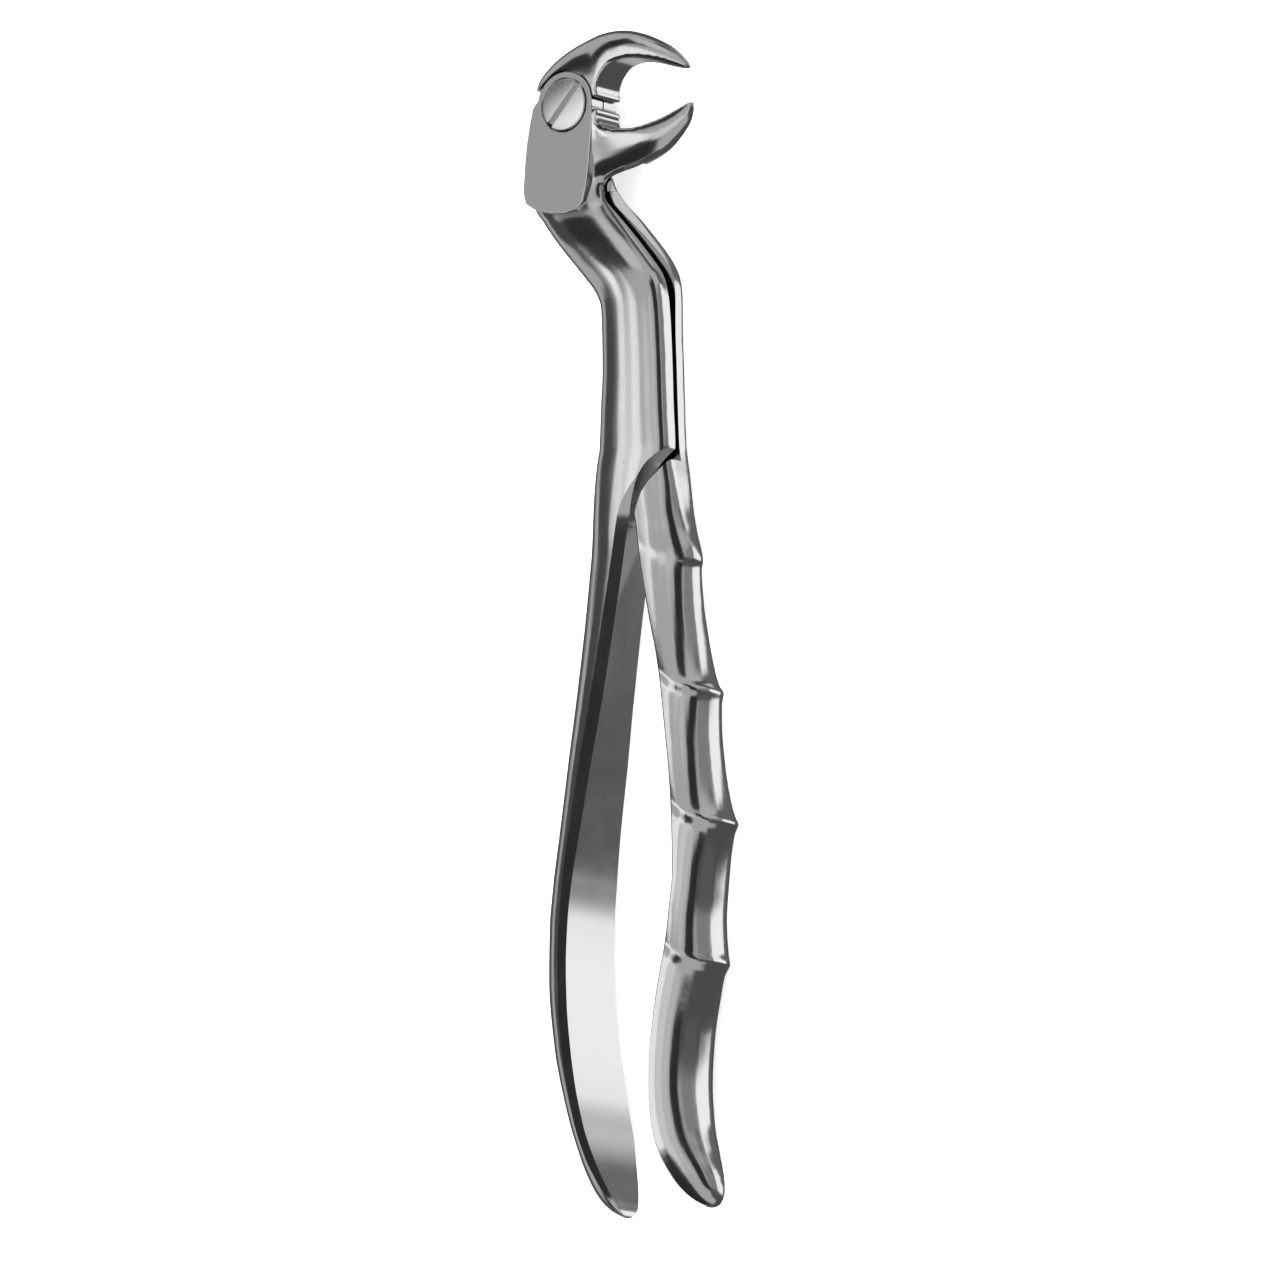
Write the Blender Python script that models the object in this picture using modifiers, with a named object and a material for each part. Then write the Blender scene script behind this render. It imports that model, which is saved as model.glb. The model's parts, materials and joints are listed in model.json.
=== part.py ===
"""Extraction forceps for lower molars: two crossing steel halves on one pivot screw.

The forceps lies flat. +Y runs along it towards the jaws, +X is the way the beaks point, and +Z is up, on
the side of the screw head. The tables below are in millimetres, measured from the pivot on the lap plane
where the two halves meet. PIVOT then sets that point in the scene, so that the origin is under the middle.
"""

import math

import bmesh
import bpy
import numpy as np

MM = 0.001

# Where the pivot axis meets the lap plane, from the origin on the surface below.
PIVOT = (-10.4, 78.7, 7.4)

# The lap joint.
JOINT_FRONT = 3.0
JOINT_REAR = -3.3
JOINT_GAP = 0.3
SHANK_GAP = 0.9
HUB_RADIUS = 5.1
HUB_CLEARANCE = 0.3
OPENING_STOP = math.radians(21.5)

# The pivot screw.
HEAD_RADIUS = 3.95
HEAD_DEPTH = 1.6
HEAD_PROUD = 0.2
NECK_RADIUS = 2.5
THREAD_RADIUS = 2.1
BORE_CLEARANCE = 0.3
HEAD_BEVEL = 0.22
NECK_END = 0.5
END_INSET = 0.1
END_BEVEL = 0.3
SLOT_WIDTH = 1.0
SLOT_DEPTH = 0.8
SLOT_REACH = 1.2
SLOT_ANGLE = math.radians(47.0)

# Bars: where they start and end along Y, and the most that two of their sections stand apart.
BAR_TOP = -9.0
FRONT_END = -168.1
REAR_END = -167.6
LONGEST_STEP = 5.0
SHORTEST_STEP = 0.45

# Sections: points on each rounded corner, the shank's corner, and how round the handles' outer side is.
CORNER_POINTS = 5
SHANK_CORNER = 2.5
HANDLE_ROUNDNESS = 2.1

# Where the shank's section changes into the handle's, and where the fingers' grooves rise and fade.
HANDLE_START = -54.0
HANDLE_FULL = -70.0
GROOVES_START = -70.0
GROOVES_FULL = -80.0
GROOVES_FADE = -138.0
GROOVES_END = -150.0

# How much higher a groove lies at the inner face than at its outer side.
FINGER_LIFT = 4.5

# Cutters: how far they reach past the solids, sideways and up or down, and how deep joined solids overlap.
CUT_REACH = 30.0
CUT_DEPTH = 12.0
BORE_REACH = 6.0
OVERLAP = 0.05

# The laps' ends along Y: the joint's gap reaches past the start of the shank's wider one.
SHANK_LAP_START = -16.5
JOINT_LAP_END = -20.0
FRONT_LAP_TOP = 8.0

# Half thickness of each bar along Y.
FRONT_THICKNESS = [
    (-9, 2.4), (-15, 2.5), (-18, 3.3), (-22, 4.1), (-27, 4.4), (-60, 4.5), (-75, 4.7), (-91, 5.3),
    (-100, 5.9), (-109, 6.25), (-118, 6.7), (-130, 7.0), (-142, 7.2), (-149, 7.4), (-154.5, 7.3),
    (-159, 6.5), (-163.5, 4.9), (-166.4, 3.2), (-167.6, 1.8), (-168.1, 0.7),
]
REAR_THICKNESS = [
    (-9, 2.7), (-15, 2.8), (-18, 3.5), (-22, 4.1), (-27, 4.4), (-60, 4.5), (-75, 4.7), (-90, 5.2),
    (-110, 5.6), (-123, 5.8), (-140, 6.2), (-150, 6.3), (-158, 5.8), (-163, 4.4), (-166, 2.8),
    (-167.2, 1.5), (-167.6, 0.6),
]

# The left side of both bars down to the shoulders, and the right side.
SHANK_LEFT = [
    (-9, -7.1), (-13, -7.5), (-15, -7.1), (-17, -5.5), (-19.5, -3.3), (-25, 1.8), (-27.2, 3.8),
    (-29.2, 5.4), (-31.5, 6.4), (-35, 6.6), (-41, 6.7), (-47, 6.4), (-53.4, 6.1),
]
SHANK_RIGHT = [
    (-9, 5.0), (-13, 6.0), (-15, 7.0), (-17, 8.7), (-19.5, 11.1), (-25, 16.0), (-27.2, 17.4),
    (-29.2, 17.9), (-31.5, 18.0), (-35, 18.1), (-41, 18.3), (-47, 18.5), (-53.4, 18.8),
]

# The palm handle of the front half: its inner face, with the wall of the shoulder slot, and its outer side.
PALM_INNER = [
    (-54.2, 18.3), (-55, 17.2), (-56, 16.0), (-58.1, 14.5), (-60, 13.5), (-62, 12.75), (-65, 12.1),
    (-69.3, 11.4), (-79, 10.0), (-90.7, 8.2), (-99.6, 6.6), (-108.6, 5.2), (-117.6, 3.7),
    (-123.6, 2.95), (-129.7, 2.75), (-136, 2.95), (-142, 3.55), (-149.6, 4.9), (-155, 6.2),
    (-159.7, 7.45), (-163.9, 8.8), (-166.4, 9.6), (-167.6, 9.9), (-168.1, 9.8),
]
PALM_OUTER = [
    (-54.2, 5.9), (-60, 4.9), (-68.5, 3.9), (-80, 2.7), (-96, 0.75), (-112, -1.2), (-118.6, -2.0),
    (-125, -2.5), (-132, -2.5), (-142.5, -1.3), (-150, 0.6), (-156.7, 2.6), (-162.8, 4.4),
    (-165.6, 5.9), (-167.1, 7.4), (-168.1, 9.1),
]
PALM_CHAMFER = [
    (-53.4, 2.5), (-56, 1.6), (-62, 1.0), (-91, 0.8), (-109, 0.85), (-118, 0.5), (-130, 0.45),
    (-149, 0.75), (-159, 0.8), (-164, 0.6), (-168.1, 0.2),
]

# The finger handle of the rear half. Its outer side has three crests, each with a scooped groove above it.
FINGER_INNER = [
    (-54.2, 6.6), (-55, 7.8), (-56, 9.1), (-58.1, 11.0), (-60, 12.3), (-62, 13.3), (-65, 14.1),
    (-67.3, 14.4), (-73.2, 15.4), (-79.6, 16.8), (-85.2, 18.2), (-88.8, 18.9), (-96, 19.9),
    (-104, 20.9), (-111, 21.4), (-118, 21.6), (-123, 21.1), (-128.5, 20.4), (-133.4, 19.4),
    (-139.4, 18.4), (-146.4, 17.7), (-151, 17.7), (-155.8, 18.1), (-160, 19.2), (-163.4, 20.8),
    (-165.6, 22.4), (-167.0, 24.0), (-167.6, 25.0),
]
FINGER_OUTER = [
    (-54.2, 19.0), (-58, 19.7), (-63, 20.6), (-66, 21.4), (-70, 22.2), (-77, 22.8), (-82, 23.4),
    (-86.5, 24.2), (-89.6, 25.1), (-90.8, 26.0), (-92.0, 25.8), (-96, 25.7), (-101, 26.1),
    (-106, 26.9), (-109.5, 27.9), (-110.6, 28.5), (-111.9, 28.0), (-116, 27.1), (-120, 26.6),
    (-125, 26.2), (-130, 26.5), (-131.4, 26.8), (-132.6, 26.1), (-136, 25.2), (-142, 24.0),
    (-149, 23.5), (-154.6, 24.0), (-159, 25.1), (-163, 26.4), (-165.4, 26.8), (-167.0, 26.5),
    (-167.6, 25.8),
]
FINGER_CHAMFER = [(-53.4, 2.5), (-56, 1.2), (-62, 0.5), (-150, 0.5), (-163, 0.5), (-167.6, 0.2)]

# Beaks, from root to tip: the throat side, the back, and the half thickness.
# The last value is how round the throat side is: 0 is flat with crisp edges, 1 is a full ellipse.
UPPER_BEAK = [
    ((-3.4, 1.6), (-6.3, 3.1), 3.15, 0.0), ((-2.4, 2.4), (-5.5, 5.0), 3.15, 0.0),
    ((-0.5, 2.6), (-3.0, 7.3), 3.15, 0.0), ((2.0, 2.0), (0.1, 9.0), 3.15, 0.0),
    ((5.8, 0.5), (3.2, 10.1), 3.15, 0.0), ((5.85, 2.0), (5.2, 10.6), 3.15, 0.0),
    ((6.5, 3.8), (7.0, 10.75), 3.1, 0.0), ((7.8, 5.2), (9.0, 10.7), 3.0, 0.0),
    ((9.9, 5.9), (11.6, 10.2), 2.85, 0.05), ((12.6, 5.75), (14.4, 9.1), 2.5, 0.3),
    ((15.6, 5.0), (17.2, 7.6), 2.0, 0.6), ((18.4, 4.1), (19.5, 5.8), 1.3, 0.8),
    ((20.7, 3.5), (21.1, 4.1), 0.6, 1.0),
]
LOWER_BEAK = [
    ((2.5, -1.2), (0.5, -12.5), 3.1, 0.0), ((5.8, -1.1), (4.4, -12.3), 3.1, 0.0),
    ((5.8, -2.5), (6.8, -11.4), 3.1, 0.1), ((6.4, -3.6), (9.2, -10.8), 3.1, 0.3),
    ((7.7, -4.2), (11.9, -10.2), 3.05, 0.5), ((9.9, -4.55), (14.7, -9.3), 2.9, 0.8),
    ((12.3, -4.65), (17.2, -8.1), 2.6, 1.0), ((14.7, -4.2), (19.3, -6.4), 2.1, 1.0),
    ((17.2, -3.4), (21.0, -4.6), 1.5, 1.0), ((19.6, -2.3), (21.7, -2.9), 0.9, 1.0),
    ((21.2, -1.5), (21.9, -1.7), 0.4, 1.0),
]
BEAK_MIDDLE = -0.15
BEAK_EDGE = 0.3

# The joint plates' left edge, from the shoulder beside the hub, and the front plate's foot and right edge.
PLATE_LEFT = [
    (-5.4, 0.75), (-5.9, 0.1), (-6.5, -2.3), (-7.0, -5.0), (-7.3, -7.4), (-7.7, -12.5), (-7.2, -14.3),
]
PLATE_FOOT = [(-5.2, -15.6), (-2.4, -16.4), (0.2, -16.6), (2.3, -16.2), (3.5, -15.0), (4.2, -12.3)]
PLATE_RIGHT = [(4.6, -9.5), (5.1, -4.5), (5.2, -1.0)]
HUB_START = math.radians(-10)
HUB_END = math.radians(168)

# Shoulders at the top of each handle, where the other half's shank passes over or under it.
FRONT_SHOULDER = [
    (19.3, -55.6), (18.8, -56.4), (17.8, -57.7), (16.65, -58.9), (15.5, -60.4), (14.7, -62.2),
    (14.25, -64.0), (13.9, -65.6),
]
REAR_SHOULDER = [
    (4.6, -55.1), (6.2, -56.3), (7.3, -57.6), (8.8, -59.3), (10.2, -61.2), (11.5, -63.6), (12.3, -66.0),
]
FRONT_SHOULDER_TOP = -55.2
FRONT_SHOULDER_FOOT = 12.0
REAR_SHOULDER_END = -66.5

# The rear plate: its hub's start, its foot, and the right edge that the lower beak clears when open.
REAR_HUB_START = math.radians(-50)
REAR_PLATE_FOOT = [(-4.5, -16.0), (3.0, -17.0)]
REAR_PLATE_RIGHT = [(3.6, -4.3), (5.0, -8.5), (5.6, -11.0), (6.1, -13.3), (8.4, -16.7)]

# Room for the rear hub beside the lower beak, and the top of the front layer's neck on the right.
REAR_HUB_ROOM = (math.radians(-4), math.radians(-28))
FRONT_LAP_RIGHT = 5.3
FRONT_NECK_TOP = [(16.0, -12.6), (CUT_REACH, -12.6)]

# Room for the front hub under the upper beak: it ends at a corner that stops the opening front half.
FRONT_HUB_ROOM = (math.radians(4), math.radians(170.5) - OPENING_STOP)
UPPER_ROOT_FOOT = (-CUT_REACH, 3.0)
UPPER_SHOULDER = 0.35

STEEL = {
    "front_half": ((0.62, 0.62, 0.63), 0.22),
    "rear_half": ((0.60, 0.60, 0.61), 0.22),
    "pivot_screw": ((0.66, 0.66, 0.67), 0.28),
}


def clear_scene():
    for obj in list(bpy.data.objects):
        bpy.data.objects.remove(obj, do_unlink=True)


def new_collection(name):
    collection = bpy.data.collections.new(name)
    bpy.context.scene.collection.children.link(collection)
    return collection


def steel(name):
    colour, roughness = STEEL[name]
    material = bpy.data.materials.new(name + "_steel")
    material.use_nodes = True
    shader = material.node_tree.nodes["Principled BSDF"]
    shader.inputs["Base Color"].default_value = (*colour, 1.0)
    shader.inputs["Metallic"].default_value = 1.0
    shader.inputs["Roughness"].default_value = roughness
    return material


def smooth(table, y):
    """The table's value at y, on a curve through its rows that doesn't overshoot them."""
    ys = np.array([row[0] for row in table], float)
    values = np.array([row[1] for row in table], float)
    if y >= ys[0]:
        return float(values[0])
    if y <= ys[-1]:
        return float(values[-1])
    steps = np.diff(ys)
    slopes = np.diff(values) / steps
    i = int(np.searchsorted(-ys, -y, side="right")) - 1
    tangents = []
    for k in (i, i + 1):
        if k in (0, len(ys) - 1):
            tangents.append(slopes[min(k, len(slopes) - 1)])
        elif slopes[k - 1] * slopes[k] <= 0:
            tangents.append(0.0)
        else:
            tangents.append(2 * slopes[k - 1] * slopes[k] / (slopes[k - 1] + slopes[k]))
    t = (y - ys[i]) / steps[i]
    start = (1 + 2 * t) * (1 - t) ** 2 * values[i] + t * (1 - t) ** 2 * steps[i] * tangents[0]
    end = t * t * (3 - 2 * t) * values[i + 1] + t * t * (t - 1) * steps[i] * tangents[1]
    return float(start + end)


def share(value, start, full):
    """0 up to start, 1 from full on, and in proportion between them."""
    return min(1.0, max(0.0, (value - start) / (full - start)))


def corner(reach_u, reach_z, power):
    """One rounded corner, from its side on u to its side on z. Power 1 is a chamfer, 2 an ellipse."""
    points = []
    for step in range(CORNER_POINTS):
        angle = 0.5 * math.pi * step / (CORNER_POINTS - 1)
        along = math.cos(angle) ** (2 / power)
        up = math.sin(angle) ** (2 / power)
        points.append((reach_u * (1 - along), reach_z * (1 - up)))
    return points


def section(width, half, outer, inner):
    """A closed section as (u, z) pairs: u runs from the outer side at 0 to the inner face at width.
    outer and inner are each (reach along u, reach along z, power) of that side's two corners."""
    outer_corner = corner(*outer)
    inner_corner = corner(*inner)
    front = [(u, half - z) for u, z in outer_corner]
    front += [(width - u, half - z) for u, z in reversed(inner_corner)]
    rear = [(u, -z) for u, z in reversed(front)]
    return front + rear


def add_object(name, bm, collection):
    """An object with its origin on the pivot axis, from a bmesh in millimetres from the pivot."""
    bmesh.ops.scale(bm, verts=bm.verts, vec=(MM, MM, MM))
    mesh = bpy.data.meshes.new(name)
    bm.to_mesh(mesh)
    bm.free()
    obj = bpy.data.objects.new(name, mesh)
    obj.location = [value * MM for value in PIVOT]
    collection.objects.link(obj)
    return obj


def loft(name, rings, collection):
    """A closed solid through rings of equally many points, each a list of (x, y, z) from the pivot."""
    bm = bmesh.new()
    loops = [[bm.verts.new(point) for point in ring] for ring in rings]
    for before, after in zip(loops, loops[1:]):
        for k, vert in enumerate(before):
            following = (k + 1) % len(before)
            bm.faces.new((vert, before[following], after[following], after[k]))
    bm.faces.new(loops[0])
    bm.faces.new(loops[-1])
    bmesh.ops.remove_doubles(bm, verts=bm.verts, dist=0.01)
    bmesh.ops.recalc_face_normals(bm, faces=bm.faces)
    return add_object(name, bm, collection)


def slab(name, outline, low, high, collection):
    """A flat outline in the XY plane, extruded between two heights."""
    bm = bmesh.new()
    face = bm.faces.new([bm.verts.new((x, y, low)) for x, y in outline])
    pushed = bmesh.ops.extrude_face_region(bm, geom=[face])["geom"]
    top = [item for item in pushed if isinstance(item, bmesh.types.BMVert)]
    bmesh.ops.translate(bm, verts=top, vec=(0, 0, high - low))
    bmesh.ops.recalc_face_normals(bm, faces=bm.faces)
    return add_object(name, bm, collection)


def turned(name, profile, collection):
    """A profile of (radius, height) pairs, top to bottom, turned about the pivot axis."""
    bm = bmesh.new()
    verts = [bm.verts.new((radius, 0, height)) for radius, height in profile]
    for pair in zip(verts, verts[1:]):
        bm.edges.new(pair)
    obj = add_object(name, bm, collection)
    screw = obj.modifiers.new("Turn", "SCREW")
    screw.steps = 48
    screw.render_steps = 48
    screw.use_merge_vertices = True
    screw.merge_threshold = 0.00001
    return obj


def arc(radius, start, end, points):
    """Points on a circle about the pivot, between two angles."""
    angles = np.linspace(start, end, points)
    return [(radius * math.cos(angle), radius * math.sin(angle)) for angle in angles]


def turn(point, angle):
    x, y = point
    return (x * math.cos(angle) - y * math.sin(angle), x * math.sin(angle) + y * math.cos(angle))


def boolean(obj, operation, other):
    modifier = obj.modifiers.new(operation.title() + " " + other.name, "BOOLEAN")
    modifier.operation = operation
    modifier.solver = "EXACT"
    modifier.object = other


def stations(tables, top, bottom, spacing):
    """The tables' own stations between top and bottom, with more where two stand over spacing apart."""
    given = {row[0] for table in tables for row in table}
    ys = sorted((y for y in given if bottom <= y <= top), reverse=True)
    kept = [ys[0]]
    for y in ys[1:]:
        if kept[-1] - y < SHORTEST_STEP and y != ys[-1]:
            continue
        gaps = math.ceil((kept[-1] - y) / spacing)
        kept += [kept[-1] + (y - kept[-1]) * k / gaps for k in range(1, gaps + 1)]
    return kept


def bar_ring(y, outer_table, inner_table, thickness, chamfers, lift):
    """One ring of a bar. The shank is a rounded bar, and the handle below it has a flat inner face.
    Where fingers lie, the ring rises by lift from its outer side to its inner face."""
    outer_x = smooth(outer_table, y)
    inner_x = smooth(inner_table, y)
    half = smooth(thickness, y)
    chamfer = smooth(chamfers, y)
    into_handle = share(y, HANDLE_START, HANDLE_FULL)
    depth = abs(inner_x - outer_x)
    round_x = SHANK_CORNER + (0.8 * depth - SHANK_CORNER) * into_handle
    round_x = min(round_x, depth - chamfer - 0.02)
    round_z = SHANK_CORNER + (half - SHANK_CORNER) * into_handle
    round_z = min(round_z, half * 0.98)
    chamfer_x = min(chamfer, 0.2 * depth + 0.02)
    chamfer_z = min(chamfer, 0.4 * half)
    power = 2.0 + (HANDLE_ROUNDNESS - 2.0) * into_handle
    inner_power = 2.0 - into_handle * 0.9
    points = section(depth, half, (round_x, round_z, power), (chamfer_x, chamfer_z, inner_power))
    grooved = share(y, GROOVES_START, GROOVES_FULL) * share(y, GROOVES_END, GROOVES_FADE)
    ring = []
    for u, z in points:
        t = u / depth
        point_y = y + lift * grooved * t ** 2
        x = outer_x + (smooth(inner_table, point_y) - outer_x) * t
        ring.append((x, point_y, z * smooth(thickness, point_y) / half))
    return ring


def front_bar(collection):
    """The front half's neck and shank, and the palm handle, with its broad inner face to the right."""
    outer = SHANK_LEFT + PALM_OUTER
    inner = SHANK_RIGHT + PALM_INNER
    levels = stations((SHANK_LEFT, PALM_INNER, PALM_OUTER), BAR_TOP, FRONT_END, LONGEST_STEP)
    rings = [bar_ring(y, outer, inner, FRONT_THICKNESS, PALM_CHAMFER, 0.0) for y in levels]
    return loft("front_half", rings, collection)


def rear_bar(collection):
    """The rear half's neck and shank, and the finger handle, with its inner face to the left."""
    outer = SHANK_RIGHT + FINGER_OUTER
    inner = SHANK_LEFT + FINGER_INNER
    levels = stations((SHANK_LEFT, FINGER_INNER, FINGER_OUTER), BAR_TOP, REAR_END, LONGEST_STEP)
    rings = [bar_ring(y, outer, inner, REAR_THICKNESS, FINGER_CHAMFER, FINGER_LIFT) for y in levels]
    return loft("rear_half", rings, collection)


def beak(name, table, collection):
    """A horn: flat on the throat side, round on its back, narrowing to the tip."""
    rings = []
    for throat, back, half, roundness in table:
        across = math.dist(throat, back)
        edge_u = BEAK_EDGE + (0.45 * across - BEAK_EDGE) * roundness
        edge_z = BEAK_EDGE + (0.95 * half - BEAK_EDGE) * roundness
        points = section(across, half, (0.5 * across, 0.8 * half, 2.2), (edge_u, edge_z, 2.0))
        ring = []
        for u, z in points:
            t = u / across
            x = back[0] + (throat[0] - back[0]) * t
            y = back[1] + (throat[1] - back[1]) * t
            ring.append((x, y, z + BEAK_MIDDLE))
        rings.append(ring)
    return loft(name, rings, collection)


def front_half(parts, cutters):
    """The half with the screw's head, the lower beak and the palm handle."""
    half = front_bar(parts)
    outline = arc(HUB_RADIUS, HUB_START, HUB_END, 22) + PLATE_LEFT + PLATE_FOOT + PLATE_RIGHT
    plate = slab("front_plate", outline, OVERLAP, JOINT_FRONT, cutters)
    horn = beak("lower_horn", LOWER_BEAK, cutters)
    wedge = [turn(point, OPENING_STOP) for point in REAR_PLATE_RIGHT]
    joint_space = [(-CUT_REACH, FRONT_LAP_TOP), (FRONT_LAP_RIGHT, FRONT_LAP_TOP)]
    joint_space += arc(HUB_RADIUS + HUB_CLEARANCE, *REAR_HUB_ROOM, 6) + wedge + FRONT_NECK_TOP
    joint_space += [(CUT_REACH, JOINT_LAP_END), (-CUT_REACH, JOINT_LAP_END)]
    lap = slab("front_joint_space", joint_space, -CUT_DEPTH, 0.5 * JOINT_GAP, cutters)
    shank_space = [(-CUT_REACH, SHANK_LAP_START), (CUT_REACH, SHANK_LAP_START)]
    shank_space += [(CUT_REACH, REAR_SHOULDER[-1][1])] + REAR_SHOULDER[::-1]
    shank_space += [(-CUT_REACH, REAR_SHOULDER[0][1])]
    under = slab("front_shank_space", shank_space, -CUT_DEPTH, 0.5 * SHANK_GAP, cutters)
    head = HEAD_RADIUS + BORE_CLEARANCE
    neck = NECK_RADIUS + BORE_CLEARANCE
    floor = JOINT_FRONT + HEAD_PROUD - HEAD_DEPTH - BORE_CLEARANCE
    profile = [(0, BORE_REACH), (head, BORE_REACH), (head, floor)]
    profile += [(neck, floor), (neck, -BORE_REACH), (0, -BORE_REACH)]
    bore = turned("front_bore", profile, cutters)
    boolean(half, "UNION", plate)
    boolean(half, "UNION", horn)
    boolean(half, "DIFFERENCE", lap)
    boolean(half, "DIFFERENCE", under)
    boolean(half, "DIFFERENCE", bore)
    return half


def rear_half(parts, cutters):
    """The half that holds the screw's thread, with the upper beak and the finger handle."""
    half = rear_bar(parts)
    outline = arc(HUB_RADIUS, REAR_HUB_START, HUB_END, 24)
    outline += PLATE_LEFT + REAR_PLATE_FOOT + REAR_PLATE_RIGHT[3::-1]
    plate = slab("rear_plate", outline, JOINT_REAR, -OVERLAP, cutters)
    horn = beak("upper_horn", UPPER_BEAK, cutters)
    joint_space = arc(HUB_RADIUS + HUB_CLEARANCE, *FRONT_HUB_ROOM, 22) + [UPPER_ROOT_FOOT]
    joint_space += [(-CUT_REACH, JOINT_LAP_END), (CUT_REACH, JOINT_LAP_END), (CUT_REACH, UPPER_SHOULDER)]
    lap = slab("rear_joint_space", joint_space, -0.5 * JOINT_GAP, CUT_DEPTH, cutters)
    shank_space = [(-CUT_REACH, SHANK_LAP_START), (-CUT_REACH, REAR_SHOULDER_END)]
    shank_space += [(FRONT_SHOULDER_FOOT, REAR_SHOULDER_END)] + FRONT_SHOULDER[::-1]
    shank_space += [(CUT_REACH, FRONT_SHOULDER_TOP), (CUT_REACH, SHANK_LAP_START)]
    over = slab("rear_shank_space", shank_space, -0.5 * SHANK_GAP, CUT_DEPTH, cutters)
    thread = THREAD_RADIUS + BORE_CLEARANCE
    profile = [(0, BORE_REACH), (thread, BORE_REACH), (thread, -BORE_REACH), (0, -BORE_REACH)]
    bore = turned("rear_bore", profile, cutters)
    boolean(half, "UNION", plate)
    boolean(half, "UNION", horn)
    boolean(half, "DIFFERENCE", lap)
    boolean(half, "DIFFERENCE", over)
    boolean(half, "DIFFERENCE", bore)
    return half


def pivot_screw(parts, cutters):
    """A slotted screw: its head lies in the front plate, and its thread in the rear one."""
    top = JOINT_FRONT + HEAD_PROUD
    under = top - HEAD_DEPTH
    end = JOINT_REAR + END_INSET
    profile = [
        (0, top), (HEAD_RADIUS - HEAD_BEVEL, top), (HEAD_RADIUS, top - HEAD_BEVEL), (HEAD_RADIUS, under),
        (NECK_RADIUS, under), (NECK_RADIUS, NECK_END),
        (THREAD_RADIUS, NECK_END - NECK_RADIUS + THREAD_RADIUS),
        (THREAD_RADIUS, end + END_BEVEL), (THREAD_RADIUS - END_BEVEL, end), (0, end),
    ]
    screw = turned("pivot_screw", profile, parts)
    reach = SLOT_REACH * HEAD_RADIUS
    side = 0.5 * SLOT_WIDTH
    corners = [(-reach, -side), (reach, -side), (reach, side), (-reach, side)]
    outline = [turn(corner, SLOT_ANGLE) for corner in corners]
    boolean(screw, "DIFFERENCE", slab("driver_slot", outline, top - SLOT_DEPTH, top + SLOT_DEPTH, cutters))
    return screw


def main():
    clear_scene()
    parts = new_collection("extraction_forceps")
    cutters = new_collection("cutters")
    for piece in (front_half(parts, cutters), rear_half(parts, cutters), pivot_screw(parts, cutters)):
        piece.data.materials.append(steel(piece.name))
        piece.data.shade_smooth()
        piece.data.set_sharp_from_angle(angle=math.radians(30))
    for tool in cutters.objects:
        tool.hide_render = True
        tool.display_type = "WIRE"


main()
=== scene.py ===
import json
import math

import bmesh
import bpy
from mathutils import Matrix, Vector


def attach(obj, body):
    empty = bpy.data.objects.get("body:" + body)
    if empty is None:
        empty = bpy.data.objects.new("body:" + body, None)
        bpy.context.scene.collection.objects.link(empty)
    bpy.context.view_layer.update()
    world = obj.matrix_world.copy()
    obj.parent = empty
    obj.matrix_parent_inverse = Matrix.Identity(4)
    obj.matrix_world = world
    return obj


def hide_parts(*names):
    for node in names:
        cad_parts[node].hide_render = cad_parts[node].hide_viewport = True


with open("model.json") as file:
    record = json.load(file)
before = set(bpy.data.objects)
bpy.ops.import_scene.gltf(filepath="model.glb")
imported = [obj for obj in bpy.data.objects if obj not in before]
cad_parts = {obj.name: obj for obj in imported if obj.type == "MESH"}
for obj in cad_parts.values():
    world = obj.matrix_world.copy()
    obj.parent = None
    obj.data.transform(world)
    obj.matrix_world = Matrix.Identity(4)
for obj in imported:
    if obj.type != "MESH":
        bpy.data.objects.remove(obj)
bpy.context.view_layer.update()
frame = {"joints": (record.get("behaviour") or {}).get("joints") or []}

mm = 0.001

# the hinge's place is the pivot, and every table below is in millimetres from it
pivot = Vector(frame["joints"][0]["pos_m"])
openingStop = math.radians(21.5)

# points closer than this become one, on swept and on turned pieces, and a turned piece has this many steps
weld = {"swept": 0.004, "turned": 0.001}
turnSteps = 96

# small tools for making shapes


def curveAt(rows, y):
    # a smooth value at y through rows of (y, value) that never swings past them
    if y >= rows[0][0]:
        return rows[0][1]
    if y <= rows[-1][0]:
        return rows[-1][1]
    i = next(k for k in range(len(rows) - 1) if rows[k + 1][0] <= y)
    slopes = [(b[1] - a[1]) / (b[0] - a[0]) for a, b in zip(rows, rows[1:])]
    tangents = []
    for k in (i, i + 1):
        if k in (0, len(rows) - 1):
            tangents.append(slopes[min(k, len(slopes) - 1)])
        elif slopes[k - 1] * slopes[k] <= 0:
            tangents.append(0.0)
        else:
            tangents.append(2 * slopes[k - 1] * slopes[k] / (slopes[k - 1] + slopes[k]))
    step = rows[i + 1][0] - rows[i][0]
    t = (y - rows[i][0]) / step
    start = (1 + 2 * t) * (1 - t) ** 2 * rows[i][1] + t * (1 - t) ** 2 * step * tangents[0]
    end = t * t * (3 - 2 * t) * rows[i + 1][1] + t * t * (t - 1) * step * tangents[1]
    return start + end


def pathAt(rows, t):
    # Catmull-Rom through rows of equally many numbers, t counted in rows
    i = min(int(t), len(rows) - 2)
    f = t - i
    a, b, c, d = (rows[min(max(k, 0), len(rows) - 1)] for k in (i - 1, i, i + 1, i + 2))
    return [
        0.5 * (2 * q + (r - p) * f + (2 * p - 5 * q + 4 * r - s) * f * f + (3 * q - p - 3 * r + s) * f ** 3)
        for p, q, r, s in zip(a, b, c, d)
    ]


def share(value, start, full):
    return min(1.0, max(0.0, (value - start) / (full - start)))


def ease(value, start, full):
    t = share(value, start, full)
    return t * t * (3 - 2 * t)


def blend(first, second, part):
    return first + (second - first) * part


def onCircle(radius, start, end, count):
    turns = [math.radians(start + (end - start) * k / (count - 1)) for k in range(count)]
    return [(radius * math.cos(a), radius * math.sin(a)) for a in turns]


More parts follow.
